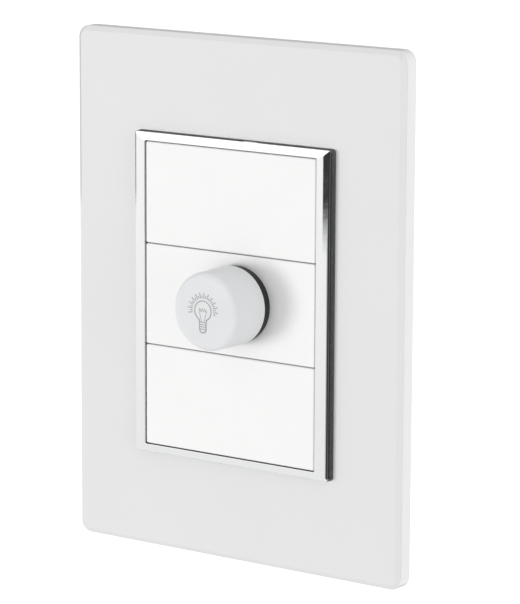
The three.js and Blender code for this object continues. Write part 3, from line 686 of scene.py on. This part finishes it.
def ray_lines():
    """Points and width of the rays round the globe, long and short in turn."""
    lines = []
    for ray in range(RAY_COUNT):
        angle = math.radians(90 + RAY_SPAN * (ray / (RAY_COUNT - 1) - 0.5))
        radii = (RAY_START, RAY_ENDS[ray % 2])
        lines.append(([(r * math.cos(angle), r * math.sin(angle)) for r in radii], RAY_LINE))
    return lines


def knob_print(material):
    """Lamp with rays on the knob's face."""
    vertices, faces = [], []
    for points, width in lamp_lines() + ray_lines():
        new_vertices, new_faces = stroke(points, width)
        start = len(vertices)
        vertices += new_vertices
        faces += [tuple(start + i for i in face) for face in new_faces]
    piece = make_piece("knob_print", vertices, faces, material)
    for face in piece.data.polygons:
        face.use_smooth = False
    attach(piece, "knob_set")


# ---------------------------------------------------------------- screws and the back of the casing

SCREW_SIDES = 32
ROWS_PER_PITCH = 6
THREAD_DEPTH = 0.16  # of the screw's radius
TIP_RADIUS = 1 / 3  # of the screw's radius
BOX_SCREW = {
    "radius": 1.7 * MM,
    "head_height": 1.3 * MM,
    "head_edge": 0.6 * MM,
    "pitch": 0.6 * MM,
    "point": 1.2 * MM,
}
CASE_SCREW = {
    "radius": 0.9 * MM,
    "head_height": 1.2 * MM,
    "head_edge": 0.4 * MM,
    "pitch": 0.8 * MM,
    "point": 1.5 * MM,
}
BOX_SLOT = (0.9 * MM, 0.7 * MM)  # width and depth
SLOT_REACH = 1.2  # of the head's radius
CASE_CROSS = (0.5 * MM, 0.7 * MM)  # width and depth of an arm
CROSS_REACH = 0.62
ABOVE_HEAD = 1 * MM  # how far a cutter stands out of the head


def screw_loops(axis, face, way, head_radius, length, kind):
    """Loops of a threaded screw along Y, from the face of its head to its tip."""
    def loop(depth, radius, ridged=False):
        points = []
        for i in range(SCREW_SIDES):
            share = i / SCREW_SIDES
            ridge = abs(2 * ((depth / kind["pitch"] - share) % 1) - 1)
            r = radius * (1 - THREAD_DEPTH * ridge) if ridged else radius
            angle = 2 * math.pi * share
            points.append((axis.x + r * math.cos(angle), face + way * depth, axis.z + r * math.sin(angle)))
        return points

    edge, head, radius = kind["head_edge"], kind["head_height"], kind["radius"]
    loops = [loop(0, 0), loop(0, head_radius - edge), loop(edge, head_radius), loop(head, head_radius)]
    threaded = length - kind["point"] - head
    rows = round(threaded / kind["pitch"] * ROWS_PER_PITCH)
    for row in range(rows + 1):
        loops.append(loop(head + threaded * row / rows, radius, ridged=True))
    loops += [loop(length, radius * TIP_RADIUS), loop(length, 0)]
    return loops


def box_mesh(low, high):
    """Vertices and faces of a box between its lowest and highest corners."""
    vertices = [(x, y, z) for x in (low.x, high.x) for y in (low.y, high.y) for z in (low.z, high.z)]
    faces = [(0, 1, 3, 2), (4, 6, 7, 5), (0, 4, 5, 1), (2, 3, 7, 6), (0, 2, 6, 4), (1, 5, 7, 3)]
    return vertices, faces


def cut_box(piece, low, high):
    """Cuts a box out of a piece for good."""
    cutter = make_piece("cutter", *box_mesh(low, high))
    cut = piece.modifiers.new("cut", "BOOLEAN")
    cut.operation = "DIFFERENCE"
    cut.solver = "EXACT"
    cut.object = cutter
    ready = piece.evaluated_get(bpy.context.evaluated_depsgraph_get())
    piece.data = bpy.data.meshes.new_from_object(ready)
    piece.modifiers.clear()
    bpy.data.objects.remove(cutter)


def screw(name, node, way, kind, recess, crossed, material):
    """Threaded screw in place of a plain one; way is 1 if its tip points into the wall."""
    low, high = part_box(node)
    axis = middle((low, high))
    face = low.y if way > 0 else high.y
    head_radius = (high.x - low.x) / 2
    vertices, faces = skin(screw_loops(axis, face, way, head_radius, high.y - low.y, kind))
    piece = make_piece(name, vertices, faces, material)
    width, depth = recess
    reach = head_radius * (CROSS_REACH if crossed else SLOT_REACH)
    arms = [(reach, width / 2), (width / 2, reach)] if crossed else [(reach, width / 2)]
    y_low, y_high = sorted((face - way * ABOVE_HEAD, face + way * depth))
    for half_x, half_z in arms:
        lowest = Vector((axis.x - half_x, y_low, axis.z - half_z))
        highest = Vector((axis.x + half_x, y_high, axis.z + half_z))
        cut_box(piece, lowest, highest)
    shade(piece)
    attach(piece, "root")
    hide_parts(node)


def screws(material):
    """Slotted screws that hold the support frame, and crossed ones that close the casing."""
    for place in ("top", "bottom"):
        screw(f"box_screw_{place}", f"mounting_screw_{place}", 1, BOX_SCREW, BOX_SLOT, False, material)
    for place in ("left", "right"):
        screw(f"case_screw_{place}", f"housing_screw_{place}", -1, CASE_SCREW, CASE_CROSS, True, material)


CASE_RIBS = 9
CASE_RIB = (1.2 * MM, 0.5 * MM)  # width and height
CASE_RIB_TOP = 0.8 * MM  # width
CASE_RIB_ENDS = (2.5 * MM, 2.0 * MM)  # kept clear behind the inserts and at the back of the casing
CASE_RIB_SUNK = 0.1 * MM
CASE_RIB_ROUNDING = 0.12 * MM


def casing_ribs(material):
    """Stiffening ribs on the top of the casing; its underside has the screwdriver holes."""
    low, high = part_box("dimmer_housing")
    y_from, y_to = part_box("blank_insert_top")[1].y + CASE_RIB_ENDS[0], high.y - CASE_RIB_ENDS[1]
    width, height = CASE_RIB
    base, top = high.z - CASE_RIB_SUNK, high.z + height
    vertices, faces = [], []
    for index in range(CASE_RIBS):
        x = low.x + (high.x - low.x) * (index + 1) / (CASE_RIBS + 1)
        start = len(vertices)
        for y, slant in ((y_from, height), (y_to, -height)):
            vertices += [
                (x - width / 2, y, base),
                (x + width / 2, y, base),
                (x + CASE_RIB_TOP / 2, y + slant, top),
                (x - CASE_RIB_TOP / 2, y + slant, top),
            ]
        sides = [(0, 1, 2, 3), (7, 6, 5, 4), (0, 4, 5, 1), (1, 5, 6, 2), (2, 6, 7, 3), (3, 7, 4, 0)]
        faces += [tuple(start + i for i in side) for side in sides]
    piece = make_piece("casing_ribs", vertices, faces, material)
    round_edges(piece, CASE_RIB_ROUNDING)
    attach(piece, "root")


# ---------------------------------------------------------------- carried-over CAD nodes


def finish_nodes(zinc, grey):
    """Finishes for the CAD nodes that stay as they are, each with its edge rounding."""
    white = white_plastic()
    groups = [
        (white, 0.12 * MM, ["blank_insert_top", "blank_insert_bottom", "dimmer_front_cover"]),
        (carrier_plastic(), 0.2 * MM, ["plate_chassis"]),
        (grey, 0.2 * MM, ["support_frame", "dimmer_housing"]),
        (zinc, 0.08 * MM, [
            "knob_spring_clip", "shaft", "bushing_nut", "bushing_washer", "potentiometer_body",
            "terminal_screw_line", "terminal_screw_load", "clamp_cage_line", "clamp_cage_load",
        ]),
        (brass(), 0.06 * MM, [
            "threaded_bushing", "wiper", "terminal_bar_line", "terminal_bar_load",
            "potentiometer_leg_left", "potentiometer_leg_middle", "potentiometer_leg_right",
        ]),
        (phenolic(), 0.06 * MM, ["track_wafer", "potentiometer_cap"]),
        (black_plastic(), 0.12 * MM, ["off_switch", "triac"]),
        (board_green(), 0.06 * MM, ["circuit_board"]),
        (aluminium(), 0.08 * MM, ["heat_sink"]),
        (ferrite(), 0.1 * MM, ["choke_core"]),
        (copper_wire(), 0.02 * MM, ["choke_winding", "diac"]),
        (capacitor_yellow(), 0.4 * MM, ["capacitor"]),
        (component_tan(), 0.1 * MM, ["resistor"]),
        (white, 0.1 * MM, ["fuse"]),
    ]
    for material, width, names in groups:
        for name in names:
            refine_node(name, material, width)


# ---------------------------------------------------------------- studio


def feed(tree, value, socket):
    """Gives an input socket a number or another node's output."""
    if isinstance(value, bpy.types.NodeSocket):
        tree.links.new(value, socket)
    else:
        socket.default_value = value


def math_node(tree, operation, *values):
    """A math node on sockets or numbers; returns its output."""
    node = tree.nodes.new("ShaderNodeMath")
    node.operation = operation
    for value, socket in zip(values, node.inputs):
        feed(tree, value, socket)
    return node.outputs[0]


def rise(tree, value, edge, soft):
    """0 below an edge and 1 above it, with a smooth step between."""
    step = map_range(tree, value, (edge - soft, edge + soft), (0, 1))
    step.node.interpolation_type = "SMOOTHSTEP"
    return step


def window(tree, value, low, high, soft):
    """1 between two values and 0 outside them."""
    inside = math_node(tree, "SUBTRACT", 1.0, rise(tree, value, high, soft))
    return math_node(tree, "MULTIPLY", rise(tree, value, low, soft), inside)


GLOW = (0.86, 1.22)  # brightness that a reflection sees toward the ground, and overhead
GLOW_LIFTS = (-13.6, 4)  # degrees above the horizon where those two start
REFLECTED_DARK = 0.035
FILL = (0.74, 0.66)  # light that matt surfaces get back from the pale floor, and from overhead
FILL_LIFTS = (-25, 25)
BACKDROP = 1.0
DARK_ZONES = [  # what reflections see as dark, as (low, high, soft) in degrees of turn, then of lift
    ((50, 181, 3), (-28, 50, 1)),  # the right side of the studio
    ((6, 30, 3), (-28, 50, 1)),  # a screen in front, to the right
    ((-7, 30, 1.5), (-9.6, 40, 0.5)),  # the upper part of that screen, which is wider
    ((-181, -80, 3), (-9.1, 48, 0.2)),  # the left side, above the horizon
    ((-181, -122, 4), (-50, -12, 2)),  # and behind it, near the floor
]


def glow(tree, turn, lift):
    """Brightness that reflections see: pale, dimmer toward the ground, and broken by dark zones."""
    paleness = map_range(tree, lift, GLOW_LIFTS, GLOW)
    dark = 0.0
    for turns, lifts in DARK_ZONES:
        zone = math_node(tree, "MULTIPLY", window(tree, turn, *turns), window(tree, lift, *lifts))
        dark = math_node(tree, "MAXIMUM", zone, dark)
    lit = math_node(tree, "MULTIPLY", math_node(tree, "SUBTRACT", 1.0, dark), paleness)
    return math_node(tree, "MAXIMUM", lit, REFLECTED_DARK)


def studio_world():
    """White to the camera, a soft fill for matt surfaces, and a designed studio for reflections."""
    world = bpy.data.worlds.new("studio")
    bpy.context.scene.world = world
    world.use_nodes = True
    tree = world.node_tree
    background = tree.nodes["Background"]
    split = tree.nodes.new("ShaderNodeSeparateXYZ")
    tree.links.new(tree.nodes.new("ShaderNodeTexCoord").outputs["Generated"], split.inputs[0])
    x, y, z = split.outputs
    to_degrees = math.degrees(1)
    from_front = math_node(tree, "ARCTAN2", x, math_node(tree, "MULTIPLY", y, -1.0))
    turn = math_node(tree, "MULTIPLY", from_front, to_degrees)  # 0 in front, 90 right, -90 left
    lift = math_node(tree, "MULTIPLY", math_node(tree, "ARCSINE", z), to_degrees)
    path = tree.nodes.new("ShaderNodeLightPath")
    strength = map_range(tree, lift, FILL_LIFTS, FILL)
    for ray, level in (("Is Glossy Ray", glow(tree, turn, lift)), ("Is Camera Ray", BACKDROP)):
        mixer = tree.nodes.new("ShaderNodeMix")
        tree.links.new(path.outputs[ray], mixer.inputs["Factor"])
        tree.links.new(strength, mixer.inputs["A"])
        feed(tree, level, mixer.inputs["B"])
        strength = mixer.outputs["Result"]
    tree.links.new(strength, background.inputs["Strength"])
    background.inputs["Color"].default_value = (1, 1, 1, 1)


FLOOR_DROP = 0.30  # below the plate, so that no shadow reaches the picture
FLOOR_REACH = 20.0
FLOOR_GLOW = 0.52


def floor():
    """Pale floor for the camera alone; the studio world stands in for it in all other light."""
    level = GLASS[0].z - FLOOR_DROP
    low, high = -FLOOR_REACH, FLOOR_REACH
    corners = [(low, low, level), (high, low, level), (high, high, level), (low, high, level)]
    shader = Shader("floor_white")
    shader.set_color((0.93, 0.93, 0.93), 0.01, scale=3)
    shader.set_roughness(0.8, 0.05, scale=5)
    shader.principled.inputs["Emission Color"].default_value = (1, 1, 1, 1)
    shader.principled.inputs["Emission Strength"].default_value = FLOOR_GLOW
    piece = make_piece("floor", corners, [(0, 1, 2, 3)], shader.material)
    piece.visible_glossy = False
    piece.visible_diffuse = False


def direction(turn, lift):
    """Unit vector away from the plate: turned to the right of its normal, then lifted."""
    across, up = math.radians(turn), math.radians(lift)
    return Vector((math.sin(across) * math.cos(up), -math.cos(across) * math.cos(up), math.sin(up)))


def softbox(name, turn, lift, distance, size, power):
    """Square area light aimed at the plate."""
    light = bpy.data.lights.new(name, "AREA")
    light.shape = "SQUARE"
    light.size = size
    light.energy = power
    lamp = bpy.data.objects.new(name, light)
    bpy.context.scene.collection.objects.link(lamp)
    away = direction(turn, lift)
    lamp.location = away * distance
    lamp.rotation_mode = "QUATERNION"
    lamp.rotation_quaternion = away.to_track_quat("Z", "Y")
    lamp.visible_glossy = False


def lights():
    """Two soft lights for the matt surfaces; reflections don't see them."""
    softbox("key_left", turn=-28, lift=-6, distance=1.6, size=0.5, power=10.8)
    softbox("side_right", turn=84, lift=6, distance=1.0, size=0.8, power=2.8)


# ---------------------------------------------------------------- camera

VIEW_TURN = 35.20  # degrees to the right of the plate's normal
VIEW_LIFT = 10.91
VIEW_ROLL = 0.266
VIEW_DISTANCE = 0.706
LENS = 193.9  # in millimetres, as is the sensor
SENSOR = 36.0
CLIP = (0.05, 100)
AIM = (3.02 * MM, -0.40 * MM)  # the picture's centre, right and up from the back of the glass


def camera():
    """Long lens in front of the plate, to its right and above it, looking back at it."""
    data = bpy.data.cameras.new("camera")
    data.lens = LENS
    data.sensor_width = SENSOR
    data.clip_start, data.clip_end = CLIP
    viewer = bpy.data.objects.new("camera", data)
    bpy.context.scene.collection.objects.link(viewer)
    back = direction(VIEW_TURN, VIEW_LIFT)
    right = (-back).cross(Vector((0, 0, 1))).normalized()
    up = right.cross(-back)
    roll = Matrix.Rotation(math.radians(VIEW_ROLL), 3, back)
    right, up = roll @ right, roll @ up
    centre = Vector((0, GLASS[1].y, 0))
    place = centre + right * AIM[0] + up * AIM[1] + back * VIEW_DISTANCE
    axes = Matrix((right, up, back)).transposed().to_4x4()
    viewer.matrix_world = Matrix.Translation(place) @ axes
    bpy.context.scene.camera = viewer


def picture_tones():
    """Plain tones, so that whites come out white, and enough bounces for the glossy pieces."""
    scene = bpy.context.scene
    scene.view_settings.view_transform = "Standard"
    scene.view_settings.look = "None"
    scene.cycles.max_bounces = 12
    scene.cycles.diffuse_bounces = 6


# ---------------------------------------------------------------- the picture

camera()
picture_tones()
studio_world()
floor()
lights()
zinc_steel, casing_grey = steel(), grey_plastic()
finish_nodes(zinc_steel, casing_grey)
screws(zinc_steel)
casing_ribs(casing_grey)
# the plate's sides and back use a white painted brighter, as painted light from the glass edge
plate_glass(white_glass(), edge_lacquer_painted_light())
chrome_frame(chrome())
dimmer_knob(knob_plastic())
knob_ring(collar_plastic())
knob_print(print_ink())
